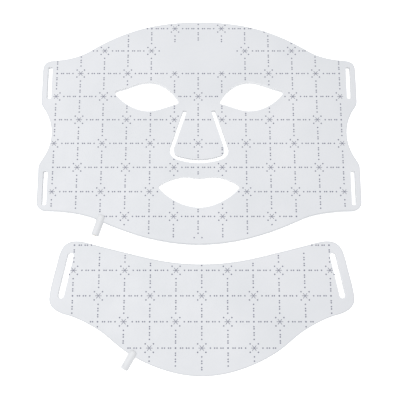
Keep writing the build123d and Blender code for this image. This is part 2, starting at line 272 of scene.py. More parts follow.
def trimmed(ring, place, heading):
    """The part of the ring behind a line through a place, which faces a heading in degrees."""
    c, s = math.cos(math.radians(heading)), math.sin(math.radians(heading))
    ahead = [(x - place[0]) * c + (y - place[1]) * s for x, y in ring]
    kept = []
    for here, after, a, b in zip(ring, ring[1:] + ring[:1], ahead, ahead[1:] + ahead[:1]):
        if a <= 0:
            kept.append(here)
        if a * b < 0:
            t = a / (a - b)
            kept.append((here[0] + (after[0] - here[0]) * t, here[1] + (after[1] - here[1]) * t))
    return kept


def rectangle(size, place=(0, 0), lean=0.0):
    """A ring round a rectangle that leans by an angle in degrees."""
    c, s = math.cos(math.radians(lean)), math.sin(math.radians(lean))
    corners = [(i * size[0] / 2, j * size[1] / 2) for i, j in ((-1, 1), (1, 1), (1, -1), (-1, -1))]
    return [(place[0] + x * c - y * s, place[1] + x * s + y * c) for x, y in corners]


def circle(place, radius, count=20):
    """A ring round a circle."""
    angles = [-2 * math.pi * i / count for i in range(count)]
    return [(place[0] + radius * math.cos(a), place[1] + radius * math.sin(a)) for a in angles]


def slit_ring(step):
    """The U-shaped slit round the nose flap, with its two ends cut level."""
    inner = both_halves(FLAP_OUTLINE, step)
    sides = []
    for ring in (grown(inner, SLIT_W), inner):
        below = [point for point in ring if point[1] < SLIT_TOP_Y - 2]
        x = below[0][0] - (SLIT_TOP_Y - below[0][1]) / math.tan(math.radians(-FLAP_OUTLINE[0][2]))
        sides.append([(x, SLIT_TOP_Y), *below, (-x, SLIT_TOP_Y)])
    return rounded(sides[0] + sides[1][::-1], SLIT_END_R)


def face_rings(step):
    """The face panel's edge and its holes."""
    eye = sampled(EYE_OUTLINE, step)[:-1]
    slots = [
        rounded(rectangle(FACE_SLOT_SIZE, (side * FACE_SLOT_X, y)), FACE_SLOT_R)
        for side in (-1, 1)
        for y in FACE_SLOT_YS
    ]
    inner_holes = [eye, mirrored(eye), both_halves(MOUTH_OUTLINE, step), slit_ring(step)]
    return both_halves(FACE_OUTLINE, step), inner_holes, slots


def neck_rings(step):
    """The neck panel's edge and its slots."""
    slots = [
        rounded(
            rectangle(NECK_SLOT_SIZE, (side * NECK_SLOT_AT[0], NECK_SLOT_AT[1]), side * NECK_SLOT_LEAN),
            NECK_SLOT_R,
        )
        for side in (-1, 1)
    ]
    return both_halves(NECK_OUTLINE, step), [], slots


def face_tab_lines():
    """Where the recess stops beside the strap slots: a place on each line and the way it faces."""
    return [((side * FACE_TAB_X, 0), 90 - 90 * side) for side in (-1, 1)]


def neck_tab_lines():
    """The same lines on the neck panel, which lean as its slots lean."""
    return [
        ((side * NECK_TAB_X, NECK_SLOT_AT[1]), 90 - 90 * side + side * NECK_SLOT_LEAN) for side in (-1, 1)
    ]


def inset_rings(rings, tab_lines, inset):
    """The recess's edge and holes, or those of a layer in it: every edge moved into the sheet."""
    edge, holes, _ = rings
    edge = grown(edge, -inset)
    for place, heading in tab_lines:
        edge = trimmed(edge, along((*place, heading), -inset), heading)
    return [edge, *[grown(hole, inset) for hole in holes]]


# ---- tests ---------------------------------------------------------------------------------------
def inside(points, rings):
    """Whether each point is inside an odd number of the rings."""
    x, y = np.asarray(points, float).reshape(-1, 2).T[:, :, None]
    count = np.zeros(len(x), int)
    for ring in rings:
        (ax, ay), (bx, by) = np.array(ring).T, np.roll(np.array(ring), -1, axis=0).T
        rise = np.where(by == ay, 1, by - ay)
        count += (((ay > y) != (by > y)) & (x < ax + (y - ay) / rise * (bx - ax))).sum(axis=1)
    return count % 2 == 1


def distance_to(rings):
    """A function from a point to its distance from the rings' points."""
    points = [point for ring in rings for point in ring]
    tree = KDTree(len(points))
    for i, (x, y) in enumerate(points):
        tree.insert((x, y, 0), i)
    tree.balance()
    return lambda point: tree.find((*point, 0))[2]


# ---- closed meshes -------------------------------------------------------------------------------
class Solid:
    """A closed mesh made of flat regions and the walls between them. Points at one place are one point."""

    def __init__(self):
        self.points = {}
        self.faces = []

    def point(self, x, y, z):
        return self.points.setdefault((round(x, 5), round(y, 5), round(z, 5)), len(self.points))

    def face(self, corners, finish=0, rim=0):
        """A face and the number of its material. Its rim is 1 on an outer rim, -1 on a hole's, or 0."""
        numbers = [self.point(*corner) for corner in corners]
        if len(set(numbers)) == len(numbers):
            self.faces.append((numbers, finish, rim))

    def wall(self, low, low_z, high, high_z, finish=0, rim=0):
        """Faces between two rings of as many points."""
        for i in range(len(low)):
            j = (i + 1) % len(low)
            corners = ((*low[i], low_z), (*low[j], low_z), (*high[j], high_z), (*high[i], high_z))
            self.face(corners, finish, rim)

    def flat(self, rings, z, grid=None, finish=0):
        """A level region inside an odd number of the rings, with a grid of points in it if asked."""
        points = [point for ring in rings for point in ring]
        edges, first = [], 0
        for ring in rings:
            edges += [(first + i, first + (i + 1) % len(ring)) for i in range(len(ring))]
            first += len(ring)
        if grid:
            points += grid_points(rings, grid)
        corners = [Vector(point) for point in points]
        spots, _, triangles, sources = delaunay_2d_cdt(corners, edges, [], 0, 1e-6)[:4]
        places = [points[source[0]] if source else tuple(spot) for spot, source in zip(spots, sources)]
        kept = inside(np.array(places)[np.array(triangles)].mean(axis=1), rings)
        for triangle, keep in zip(triangles, kept):
            if keep:
                self.face([(*places[i], z) for i in triangle], finish)

    def prism(self, ring, low, high, finish=0):
        """A ring drawn up between two heights."""
        self.flat([ring], low, finish=finish)
        self.wall(ring, low, ring, high, finish)
        self.flat([ring], high, finish=finish)

    def bmesh(self, shift=0.0):
        """The mesh in Blender's form, moved across by the panel's shift."""
        bm = bmesh.new()
        rims = bm.faces.layers.int.new("rim")
        verts = [bm.verts.new((x + shift, y, z)) for x, y, z in self.points]
        for numbers, finish, rim in self.faces:
            face = bm.faces.new([verts[i] for i in numbers])
            face.material_index = finish
            face[rims] = rim
        bmesh.ops.delete(bm, geom=[v for v in bm.verts if not v.link_faces], context="VERTS")
        return bm


def grid_points(rings, spacing):
    """Evenly spaced points inside the rings and clear of them."""
    xs, ys = zip(*[point for ring in rings for point in ring])
    across = np.arange(math.ceil(min(xs) / spacing), math.floor(max(xs) / spacing) + 1) * spacing
    up = np.arange(math.ceil(min(ys) / spacing), math.floor(max(ys) / spacing) + 1) * spacing
    points = [(x, y) for x in across for y in up]
    near = distance_to(rings)
    return [p for p, keep in zip(points, inside(points, rings)) if keep and near(p) > spacing / 3]


def rim_levels(front_r):
    """Inset and height from the flat front, round the rim, to the flat back."""
    turns = [math.radians(22.5 * i) for i in range(5)]
    front = [(front_r * (1 - math.sin(a)), PANEL_T - front_r * (1 - math.cos(a))) for a in turns]
    back = [(BACK_R * (1 - math.cos(a)), BACK_R * (1 - math.sin(a))) for a in turns]
    return [(front_r + FRONT_STRIP, PANEL_T), *front, *back, (BACK_R + BACK_STRIP, 0)]


def shell_solid(rings, tab_lines):
    """The moulded front shell with its recess."""
    solid = Solid()
    edge, holes, slots = rings
    rims = [(edge, 1, OUTER_R), *[(hole, -1, HOLE_R) for hole in (*holes, *slots)]]
    fronts, backs = [], []
    for ring, rim, radius in rims:
        levels = [(grown(ring, -rim * inset), z) for inset, z in rim_levels(radius)]
        for (low, low_z), (high, high_z) in zip(levels, levels[1:]):
            solid.wall(low, low_z, high, high_z, rim=rim)
        fronts.append(levels[0][0])
        backs.append(levels[-1][0])
    recess = inset_rings(rings, tab_lines, RIM_W)
    solid.flat(fronts, PANEL_T, GRID)
    solid.flat(backs + recess, 0)
    for ring in recess:
        solid.wall(ring, 0, ring, CEILING)
    solid.flat(recess, CEILING, GRID)
    return solid


def pocket_ring(place, room):
    """A light's pocket: square, or round where its corners would cross the cover's edge."""
    half = LED_SIZE / 2 + POCKET_GAP
    return rectangle((2 * half, 2 * half), place) if room > 1.5 * half else circle(place, half)


def cover_solid(rings, fine, tab_lines, lights):
    """The inset back cover, with a pocket and a thin window for each light."""
    solid = Solid()
    near = distance_to([fine[0], *fine[1]])
    rooms = [min(near(place), tab_room(place, tab_lines)) - RIM_W - COVER_GAP for place in lights]
    dimple_rs = [min(DIMPLE_R, room - COVER_R - DIMPLE_EDGE) for room in rooms]
    outer = inset_rings(rings, tab_lines, RIM_W + COVER_GAP)
    signs = [-1] + [1] * (len(outer) - 1)
    back = [grown(ring, sign * COVER_R) for ring, sign in zip(outer, signs)]
    middle = [grown(ring, sign * COVER_MID) for ring, sign in zip(outer, signs)]
    for ring, mid, low in zip(outer, middle, back):
        solid.wall(low, 0, mid, COVER_MID, rim=1)
        solid.wall(mid, COVER_MID, ring, COVER_R, rim=1)
        solid.wall(ring, COVER_R, ring, COVER_T)
    pockets = [pocket_ring(place, room) for place, room in zip(lights, rooms)]
    dimples = [circle(place, radius) for place, radius in zip(lights, dimple_rs)]
    pocket_z = LED_LOW - POCKET_GAP
    for place, pocket, dimple, radius in zip(lights, pockets, dimples, dimple_rs):
        solid.wall(pocket, COVER_T, pocket, pocket_z)
        solid.flat([pocket], pocket_z, finish=1)
        floor = circle(place, radius - DIMPLE_SLOPE)
        solid.wall(dimple, 0, floor, DIMPLE_DEEP)
        solid.flat([floor], DIMPLE_DEEP, finish=1)
    solid.flat(outer + pockets, COVER_T, GRID)
    solid.flat(back + dimples, 0, GRID)
    return solid


def film_solid(rings, tab_lines, openings):
    """The flexible circuit: strips along the grid lines, with rounded openings between them."""
    solid = Solid()
    edges = inset_rings(rings, tab_lines, RIM_W + BOARD_INSET) + openings
    for z in (COVER_T, CEILING):
        solid.flat(edges, z, GRID)
    for ring in edges:
        solid.wall(ring, COVER_T, ring, CEILING)
    return solid


# ---- lights --------------------------------------------------------------------------------------
def crossings(grid, across=0.0):
    """The grid's crossings with their column and row, moved across by a share of the pitch."""
    pitch_x, pitch_y, row_0, rows = grid
    for row in rows:
        for column in COLUMNS:
            yield column, row, (column + across) * pitch_x, row_0 - (row + across) * pitch_y


def on_sheet(point, rings, near, margin):
    """True if a point is on the sheet with a margin to every edge."""
    edge, holes, slots = rings
    return inside([point], [edge, *holes, *slots])[0] and near(point) >= margin


def tab_room(point, tab_lines):
    """How far a point is behind the nearest line where the recess stops."""
    rooms = []
    for (x, y), heading in tab_lines:
        c, s = math.cos(math.radians(heading)), math.sin(math.radians(heading))
        rooms.append((x - point[0]) * c + (y - point[1]) * s)
    return min(rooms)


def light_places(grid, rings, tab_lines):
    """Every other crossing, where a light fits clear of all edges."""
    near = distance_to([rings[0], *rings[1]])
    return [
        (x, y)
        for column, row, x, y in crossings(grid)
        if (column + row) % 2 == 0
        and on_sheet((x, y), rings, near, LED_CLEAR)
        and tab_room((x, y), tab_lines) >= LED_CLEAR
    ]


def film_openings(grid, rings, tab_lines):
    """The circuit's openings: one in each cell of the grid that has room for it."""
    near = distance_to([rings[0], *rings[1]])
    wide, high = grid[0] - STRIP_W, grid[1] - STRIP_W
    found = []
    for _, _, x, y in crossings(grid, across=0.5):
        around = [(x + i * wide / 2, y + j * high / 2) for i in (-1, 0, 1) for j in (-1, 0, 1)]
        if all(
            on_sheet(point, rings, near, WINDOW_CLEAR) and tab_room(point, tab_lines) >= WINDOW_CLEAR
            for point in around
        ):
            found.append(rounded(rectangle((wide, high), (x, y)), WINDOW_R))
    return found


def add_light(solid, place):
    """A light package with cut corners and a sunk phosphor window on its skin side."""
    half, cut = LED_SIZE / 2, LED_SIZE / 2 - LED_CORNER
    right = ((cut, half), (half, cut), (half, -cut), (cut, -half))
    corners = [*right, *[(-x, -y) for x, y in right]]
    body = [(place[0] + x, place[1] + y) for x, y in corners]
    lens = circle(place, LENS_R, 16)
    solid.flat([body, lens], LED_LOW)
    solid.wall(lens, LED_LOW, lens, LED_LOW + LENS_DEEP)
    solid.flat([lens], LED_LOW + LENS_DEEP, finish=1)
    solid.wall(body, LED_LOW, body, COVER_T)
    solid.flat([body], COVER_T)


def add_chip(solid, x, y):
    """A chip resistor: a dark body between two plated ends."""
    wide, deep, tall = CHIP_SIZE
    body = rectangle((wide - 2 * CHIP_END, deep - 2 * CHIP_SIDE_IN), (x, y))
    solid.prism(body, COVER_T - tall + CHIP_LOW_IN, COVER_T - CHIP_TOP_IN)
    for side in (-1, 1):
        end = rectangle((CHIP_END, deep), (x + side * (wide - CHIP_END) / 2, y))
        solid.prism(end, COVER_T - tall, COVER_T, finish=1)


# ---- printed grid --------------------------------------------------------------------------------
def star_ring(place, pitch):
    """A star of straight legs of one width, as one outline."""
    points = []
    half, reach = LEG_W / 2, LEG_SHARE * pitch
    for i in range(len(STAR_ANGLES)):
        angle, next_angle = STAR_ANGLES[-i], STAR_ANGLES[-i - 1]
        turn = math.radians(angle)
        c, s = math.cos(turn), math.sin(turn)
        for side in (half, -half):
            points.append((place[0] + reach * c - side * s, place[1] + reach * s + side * c))
        between = math.radians((angle - next_angle) % 360)
        valley = half / math.sin(between / 2)
        middle = turn - between / 2
        points.append((place[0] + valley * math.cos(middle), place[1] + valley * math.sin(middle)))
    return points


def print_marks(panel):
    """Every printed mark of a panel: the place of its middle and its outline."""
    pitch_x, pitch_y, _, _ = panel["grid"]
    edge, holes, slots = panel["rings"]
    near_top, near_low = panel["near_edges"]

    def fits(x, y):
        wide, low, high = BLANK
        if abs(x) > panel["ink_half_w"] or (abs(x) < wide and low < y < high):
            return False
        place = (x + panel["print_x"], y)
        clear = near_top(place) > INK_CLEAR and near_low(place) > panel["low_clear"]
        return clear and inside([place], [edge, *holes, *slots])[0]

    for column, row, x, y in crossings(panel["grid"]):
        starred = (column + row) % 2 == 0
        shown = fits(x, y)
        if shown:
            place = (x + panel["print_x"], y)
            yield place, star_ring(place, pitch_x) if starred else circle(place, CROSS_DOT_R, 12)
        if not starred:
            continue
        dots = []
        if shown or panel["lone_dots"]:
            away = STAR_DOT * pitch_x
            dots += [(x + i * away, y + j * away) for i in (-1, 1) for j in (-1, 1)]
        for share in LINK_DOTS:
            dots += [(x + i * share * pitch_x, y) for i in (-1, 1)]
            dots += [(x, y + j * share * pitch_y) for j in (-1, 1)]
        for dot in dots:
            if fits(*dot):
                place = (dot[0] + panel["print_x"], dot[1])
                yield place, circle(place, DOT_R, 12)


# ---- power tail ----------------------------------------------------------------------------------
def tail_frame(tail):
    """A tail's frame: its tip at the origin, local X up and local Z out of the jack's mouth."""
    (x, y), heading, _ = tail
    turn = math.radians(heading)
    outward = Vector((math.cos(turn), math.sin(turn), 0))
    up = Vector((0, 0, 1))
    across = outward.cross(up)
    matrix = Matrix((up, across, outward)).transposed().to_4x4()
    matrix.translation = (x, y, TAIL_Z)
    return matrix


def lathe(solid, matrix, profile, count=40, up=0.0, aside=0.0, finish=0, floor=None):
    """A profile of depth and radius turned about a tail's axis, or beside it, and cut level at a floor."""
    circles = []
    for depth, radius in profile:
        level = []
        for i in range(count):
            angle = 2 * math.pi * i / count
            across = (up + radius * math.cos(angle), aside + radius * math.sin(angle))
            place = matrix @ Vector((*across, -depth))
            level.append((place.x, place.y, place.z if floor is None else max(place.z, floor)))
        circles.append(level)
    for near, deep in zip(circles, circles[1:]):
        for i in range(count):
            j = (i + 1) % count
            solid.face((near[i], near[j], deep[j], deep[i]), finish)
    for level in (circles[0], circles[-1]):
        centre = tuple(sum(axis) / count for axis in zip(*level))
        for i in range(count):
            solid.face((level[i], level[(i + 1) % count], centre), finish)


def quarter(depth, radius, size, first, last, steps=6):
    """Part of a profile: an arc about a centre, between two angles from the outward axis."""
    turns = [math.radians(first + (last - first) * i / steps) for i in range(steps + 1)]
    return [(depth - size * math.cos(a), radius + size * math.sin(a)) for a in turns]


def add_sleeve(solid, tail):
    """The moulded sleeve: a hollow round bar with a rounded tip and a rounded root on the panel."""
    length = tail[2] + TAIL_INSIDE
    flare_l, flare_w = MOUTH_FLARE
    mouth = [(JACK_L, JACK_R + SEAT_GAP), (flare_l, JACK_R + SEAT_GAP), (0, JACK_R + flare_w)]
    tip = quarter(TAIL_END_R, TAIL_R - TAIL_END_R, TAIL_END_R, 0, 90)
    root = quarter(length - TAIL_ROOT_R, TAIL_R - TAIL_ROOT_R, TAIL_ROOT_R, 90, 180)
    lathe(solid, tail_frame(tail), [*mouth, *tip, *root], floor=TAIL_FLAT_Z)


def add_jack(solid, tail):
    """The jack's moulded body, open at its bore."""
    outside = [(JACK_L, JACK_R), (JACK_SINK + JACK_LIP, JACK_R), (JACK_SINK, JACK_R - JACK_LIP)]
    ring_seat = [(JACK_SINK, RING_R), (RING_L, RING_R)]
    bore = [(RING_L, BORE_R), (BORE_L, BORE_R), (BORE_L, TIP_R), (BORE_L + TIP_L, TIP_R)]
    lathe(solid, tail_frame(tail), [*outside, *ring_seat, *bore])


def add_contacts(solid, tail):
    """The ring contact at the jack's mouth and the tip contact at the end of its bore."""
    matrix = tail_frame(tail)
    inner, outer = BORE_R + SEAT_GAP, RING_R - SEAT_GAP
    far_side = [(RING_L, inner), (RING_L, outer)]
    outer_bevel = [(JACK_SINK + RING_BEVEL, outer), (JACK_SINK, outer - RING_BEVEL)]
    inner_bevel = [(JACK_SINK, inner + JACK_LIP), (JACK_SINK + JACK_LIP, inner)]
    tube(solid, matrix, [*far_side, *outer_bevel, *inner_bevel])
    tip_r, (dome_l, dome_w) = TIP_R - 2 * SEAT_GAP, TIP_DOME
    tip = [(BORE_L + TIP_L - SEAT_GAP, tip_r), (BORE_L, tip_r), (BORE_L - dome_l, TIP_R - dome_w)]
    lathe(solid, matrix, tip)


def tube(solid, matrix, profile, count=40):
    """A closed profile of depth and radius turned about a tail's axis."""
    turns = [2 * math.pi * i / count for i in range(count)]
    circles = []
    for depth, radius in profile:
        places = [Vector((radius * math.cos(turn), radius * math.sin(turn), -depth)) for turn in turns]
        circles.append([tuple(matrix @ place) for place in places])
    for near, deep in zip(circles, circles[1:] + circles[:1]):
        for i in range(count):
            j = (i + 1) % count
            solid.face((near[i], near[j], deep[j], deep[i]))


def add_wires(solid, tail):
    """Two wires from the back of the jack to the circuit, each with a bared and tinned end."""
    up = COVER_T + BOARD_T + WIRE_R + WIRE_CLEAR - TAIL_Z
    bared, end_r = WIRE_END - WIRE_BARED, WIRE_R - WIRE_BEVEL
    jacket = [(JACK_L, end_r), (JACK_L + 0.1, WIRE_R), (bared - 0.1, WIRE_R), (bared, end_r)]
    tinned = [(bared - 0.2, WIRE_CORE_R), (WIRE_END - 0.1, WIRE_CORE_R), (WIRE_END, 0.72 * WIRE_CORE_R)]
    for side in (-1, 1):
        aside = side * WIRE_SPREAD
        lathe(solid, tail_frame(tail), jacket, 16, up, aside)
        lathe(solid, tail_frame(tail), tinned, 12, up, aside, finish=1)


# ---- shaders -------------------------------------------------------------------------------------
class Finish:
    """A procedural material whose patterns follow each mesh's resting shape."""

    def __init__(self, name, **sockets):
        self.material = bpy.data.materials.new(name)
        self.material.use_nodes = True
        self.tree = self.material.node_tree
        self.surface = self.tree.nodes["Principled BSDF"]
        for socket, value in sockets.items():
            self.surface.inputs[socket.replace("_", " ")].default_value = value
        rest = self.node("ShaderNodeAttribute", attribute_name="rest")
        self.place = rest.outputs["Vector"]

    def node(self, kind, **settings):
        node = self.tree.nodes.new(kind)
        for setting, value in settings.items():
            setattr(node, setting, value)
        return node

    def link(self, source, target):
        self.tree.links.new(source, target)

    def noise(self, size, detail=2.0, rough=0.5):
        """Noise with features about that many millimetres across, from 0 to 1."""
        node = self.node("ShaderNodeTexNoise")
        node.inputs["Scale"].default_value = 1 / (size * MM)
        node.inputs["Detail"].default_value = detail
        node.inputs["Roughness"].default_value = rough
        self.link(self.place, node.inputs["Vector"])
        return node.outputs["Fac"]

    def range(self, source, low, high, start=0.3, end=0.7):
        """The source between two values, as it goes from start to end."""
        node = self.node("ShaderNodeMapRange")
        self.link(source, node.inputs["Value"])
        for name, value in (("From Min", start), ("From Max", end), ("To Min", low), ("To Max", high)):
            node.inputs[name].default_value = value
        return node.outputs["Result"]

    def mix(self, share, first, second):
        """A colour between two, each a colour or another socket."""
        node = self.node("ShaderNodeMix", data_type="RGBA")
        self.link(share, node.inputs["Factor"])
        for name, colour in (("A", first), ("B", second)):
            socket = next(s for s in node.inputs if s.name == name and s.type == "RGBA")
            if isinstance(colour, tuple):
                socket.default_value = (*colour, 1)
            else:
                self.link(colour, socket)
        return next(s for s in node.outputs if s.type == "RGBA")

    def rim_share(self, amount, rim=1):
        """How far a point is on an outer rim, or on a hole's if the rim is -1, up to an amount."""
        share = self.node("ShaderNodeAttribute", attribute_name="rim_share")
        return self.range(share.outputs["Fac"], 0, amount, 0, rim)

    def colour(self, source):
        self.link(source, self.surface.inputs["Base Color"])

    def roughness(self, source):
        self.link(source, self.surface.inputs["Roughness"])

    def bump(self, source, height, strength=1.0):
        """Bumps up to a height in millimetres, added to any that are there."""
        node = self.node("ShaderNodeBump")
        node.inputs["Distance"].default_value = height * MM
        node.inputs["Strength"].default_value = strength
        self.link(source, node.inputs["Height"])
        normal = self.surface.inputs["Normal"]
        if normal.is_linked:
            self.link(normal.links[0].from_socket, node.inputs["Normal"])
        self.link(node.outputs["Normal"], normal)


PAINTED_LIGHT_HOLE_WALL = (0.67, 0.68, 0.70)  # painted light: hole walls paler than the front, to offset the shade deep in narrow holes and slits


def silicone(name, dark, light, rim, low_rough=0.5, high_rough=0.62, **sockets):
    """Moulded silicone: cloudy colour, fine grain, sparse dust, painted shade darkening the outer rims and
    painted light making the hole walls paler.
    """
    finish = Finish(name, Sheen_Weight=0.12, Sheen_Roughness=0.5, **sockets)
    cloud = finish.mix(finish.range(finish.noise(60, 3), 0, 1), dark, light)
    dust = finish.mix(finish.range(finish.noise(1.6, 4, 0.6), 0, 0.35, 0.66, 0.78), cloud, rim)
    # painted shade: the outer rims are darkened towards the third colour, standing in for the shade on
    # rounded edges
    painted_rim_shade = finish.mix(finish.rim_share(0.4), dust, rim)
    # painted light: the walls of holes take the paler hole-wall colour
    finish.colour(finish.mix(finish.rim_share(1.0, rim=-1), painted_rim_shade, PAINTED_LIGHT_HOLE_WALL))
    finish.roughness(finish.range(finish.noise(9, 4), low_rough, high_rough))
    finish.bump(finish.noise(0.45, 3), 0.012)
    finish.bump(finish.noise(14, 2), 0.05)
    return finish.material


def window_finish():
    """Thin clear silicone over each light."""
    finish = Finish("clear_silicone_window", Alpha=0.38, IOR=1.41)
    finish.colour(finish.mix(finish.noise(3), (0.80, 0.81, 0.80), (0.88, 0.89, 0.88)))
    finish.roughness(finish.range(finish.noise(1.2), 0.22, 0.4))
    return finish.material


def film_finish():
    """Amber circuit film with darker tracks under its surface."""
    finish = Finish("circuit_film", Coat_Weight=0.3, Coat_Roughness=0.2)
    wave = finish.node("ShaderNodeTexWave", wave_type="BANDS", bands_direction="DIAGONAL")
    wave.inputs["Scale"].default_value = 420
    finish.link(finish.place, wave.inputs["Vector"])
    lines = finish.range(wave.outputs["Fac"], 0, 1, 0.55, 0.62)
    tracks = finish.mix(lines, (0.55, 0.24, 0.04), (0.70, 0.36, 0.08))
    finish.colour(finish.mix(finish.range(finish.noise(20), 0, 0.4), tracks, (0.45, 0.20, 0.04)))
    finish.roughness(finish.range(finish.noise(5), 0.3, 0.45))
    finish.bump(wave.outputs["Fac"], 0.02)
    return finish.material


def ink_finish():
    """Grey-blue silicone ink, a little uneven in density."""
    finish = Finish("grid_ink")
    density = finish.range(finish.noise(2.2, 3), 0, 1)
    finish.colour(finish.mix(density, (0.125, 0.13, 0.18), (0.19, 0.195, 0.255)))
    finish.roughness(finish.range(finish.noise(1.5), 0.5, 0.65))
    finish.bump(finish.noise(0.3, 3), 0.01)
    return finish.material


def speckled(name, dark, light, size, low_rough, high_rough, grain=0.01, **sockets):
    """A small part's finish: colour that drifts between two tones, uneven gloss and fine grain."""
    finish = Finish(name, **sockets)
    finish.colour(finish.mix(finish.range(finish.noise(size, 3), 0, 1), dark, light))
    finish.roughness(finish.range(finish.noise(size / 2, 3), low_rough, high_rough))
    finish.bump(finish.noise(size / 6, 2), grain)
    return finish.material


# the third colour of each silicone is both its dust and the painted shade on its outer rims
FRONT = silicone("front_silicone", (0.60, 0.615, 0.64), (0.64, 0.65, 0.675), (0.50, 0.515, 0.54))
TAIL = silicone("tail_silicone", (0.62, 0.63, 0.65), (0.66, 0.67, 0.685), (0.50, 0.515, 0.54))
BACK = silicone("milky_back_silicone", (0.66, 0.67, 0.68), (0.72, 0.73, 0.735), (0.60, 0.61, 0.62), 0.4, 0.55)
WINDOW = window_finish()
FILM = film_finish()
INK = ink_finish()
CERAMIC = speckled("light_package_ceramic", (0.70, 0.69, 0.64), (0.78, 0.77, 0.73), 1.2, 0.3, 0.45)
PHOSPHOR = speckled("light_phosphor", (0.80, 0.55, 0.06), (0.90, 0.68, 0.12), 0.5, 0.35, 0.5, 0.02)
JACK = speckled("jack_moulding", (0.010, 0.010, 0.012), (0.022, 0.022, 0.025), 1.5, 0.32, 0.48)
PLATING = speckled(
    "contact_plating", (0.62, 0.47, 0.20), (0.74, 0.58, 0.28), 1.0, 0.2, 0.35, grain=0.004, Metallic=1.0
)
JACKET = speckled("wire_jacket_red", (0.36, 0.02, 0.015), (0.46, 0.035, 0.025), 2.0, 0.4, 0.55)
CHIP = speckled("chip_ceramic", (0.012, 0.012, 0.015), (0.03, 0.03, 0.034), 0.6, 0.4, 0.6)


# ---- pieces --------------------------------------------------------------------------------------
def joint(name):
    return next(j for j in frame["joints"] if j["name"] == name)


def spans(panel):
    """Each piece of a panel's sheet: its name, where it starts and ends, and the joint it bends across."""
    bends = {
        (word, part): joint(f"{panel}_{word}_{part}_bend")
        for word in ("left", "right")
        for part in ("inner", "outer")
    }
    at = {key: bend["pos_m"][0] / MM for key, bend in bends.items()}
    centre = (at["left", "inner"] + at["right", "inner"]) / 2
    for word, far in (("left", -FAR), ("right", FAR)):
        middle = (at[word, "inner"] + at[word, "outer"]) / 2
        yield f"{panel}_{word}_side", sorted((centre, middle)), bends[word, "inner"]
        yield f"{panel}_{word}_edge", sorted((middle, far)), bends[word, "outer"]


def closed(bm):
    """Fills the holes that a cut has left, which all lie in the cutting plane."""
    open_edges = [edge for edge in bm.edges if edge.is_boundary]
    if open_edges:
        bmesh.ops.triangle_fill(bm, use_beauty=True, edges=open_edges)


def cut(bm, place, normal, clear=True):
    """Cuts a mesh at a plane and, to clear, drops what lies ahead of it and closes the cut."""
    everything = bm.verts[:] + bm.edges[:] + bm.faces[:]
    bmesh.ops.bisect_plane(
        bm, geom=everything, dist=1e-4, plane_co=place, plane_no=normal, clear_outer=clear
    )
    if clear:
        closed(bm)


def part_at_flap(bm, flap_zone, keep_flap):
    """Keeps either the nose flap or the rest of the sheet, and closes the cut."""
    cut(bm, (0, FLAP_CUT_Y, 0), (0, 1, 0), clear=False)
    centres = [face.calc_center_median() for face in bm.faces]
    in_zone = inside([(c.x, c.y) for c in centres], [flap_zone])
    dropped = [
        face
        for face, centre, zoned in zip(bm.faces, centres, in_zone)
        if (zoned and centre.y < FLAP_CUT_Y) != keep_flap
    ]
    bmesh.ops.delete(bm, geom=dropped, context="FACES")
    closed(bm)


def new_piece(bm, name, finishes, slot=None):
    """An object from a mesh in millimetres, turned outwards, with its resting shape kept for patterns."""
    bmesh.ops.recalc_face_normals(bm, faces=bm.faces)
    if bm.calc_volume(signed=True) < 0:
        bmesh.ops.reverse_faces(bm, faces=bm.faces)
    mesh = bpy.data.meshes.new(name)
    rims = bm.faces.layers.int["rim"]
    rim_sets = [{face[rims] for face in vert.link_faces} for vert in bm.verts]
    on_rim = [float(found.pop()) if len(found) == 1 else 0.0 for found in rim_sets]
    bm.to_mesh(mesh)
    bm.free()
    mesh.transform(Matrix.Scale(MM, 4))
    rest = mesh.attributes.new("rest", "FLOAT_VECTOR", "POINT")
    rest.data.foreach_set("vector", np.array([v.co for v in mesh.vertices], np.float32).ravel())
    mesh.attributes.new("rim_share", "FLOAT", "POINT")
    mesh.attributes["rim_share"].data.foreach_set("value", on_rim)
    mesh.shade_smooth()
    mesh.set_sharp_from_angle(angle=math.radians(35))
    for finish in finishes:
        mesh.materials.append(finish)
    piece = bpy.data.objects.new(name, mesh)
    bpy.context.scene.collection.objects.link(piece)
    return piece


def bend(piece, joint_used):
    """Bakes a piece's placement into its mesh."""
    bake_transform(piece)


def lift(piece):
    """Looks up the nose flap's hinge and bakes a piece of the flap's placement into its mesh."""
    hinge = joint("nose_flap_lift")
    y, z = hinge["pos_m"][1:]
    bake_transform(piece)


def stands_for(joint_used, layer):
    """The piece takes the place of the CAD lengths that it covers."""
    bodies = [joint_used["child"]]
    if joint_used["parent"].endswith("centre"):
        bodies.append(joint_used["parent"])
    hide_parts(*[f"{body}_{layer}" for body in bodies])


def lay_sheet(panel, solid, kind, layer, finishes, slot):
    """Cuts one layer of a panel into its pieces, one with each joint, and hides the CAD lengths they cover.
    """
    whole = solid.bmesh(panel["shift"])
    for name, (low, high), used in spans(panel["name"]):
        bm = whole.copy()
        cut(bm, (low, 0, 0), (-1, 0, 0))
        cut(bm, (high, 0, 0), (1, 0, 0))
        if panel["flap_zone"]:
            part_at_flap(bm, panel["flap_zone"], keep_flap=False)
        piece = new_piece(bm, f"{name}_{kind}", finishes, slot)
        bend(piece, used)
        stands_for(used, layer)
    if panel["flap_zone"]:
        bm = whole.copy()
        part_at_flap(bm, panel["flap_zone"], keep_flap=True)
        bend_end = 2 * joint("nose_flap_lift")["pos_m"][1] / MM - FLAP_CUT_Y
        for y in np.arange(FLAP_CUT_Y - FLAP_STEP, bend_end, -FLAP_STEP):
            cut(bm, (0, y, 0), (0, 1, 0), clear=False)
        piece = new_piece(bm, f"nose_flap_{kind}", finishes, slot)
        lift(piece)
        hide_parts(f"nose_flap_{layer}")
    whole.free()


